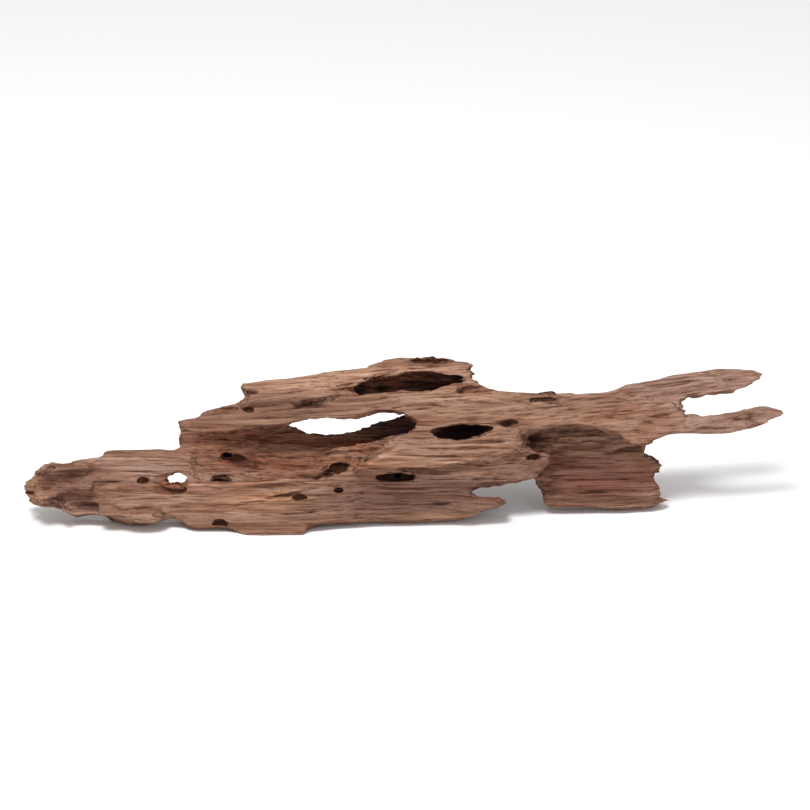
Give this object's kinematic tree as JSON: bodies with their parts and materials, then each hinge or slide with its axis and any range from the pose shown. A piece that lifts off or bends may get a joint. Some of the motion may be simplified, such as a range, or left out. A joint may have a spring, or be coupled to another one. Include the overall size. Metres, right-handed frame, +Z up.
{
  "type": "honeycomb wood",
  "caption": "Weathered, hollowed length of driftwood with long grain, torn ends, worm holes, tunnels and a see-through gap, lying on worn flats.",
  "frame": {"origin": "middle of the ground that the wood covers, on that ground", "axes": "+X along the grain towards the two long fingers, +Y away from the viewer, +Z up"},
  "size_m": [0.5066, 0.102, 0.0921],
  "materials": {
    "honeycomb_wood": "weathered, matt, open grain"
  },
  "bodies": {
    "root": {"honeycomb_wood": "honeycomb_wood"}
  },
  "joints": []
}
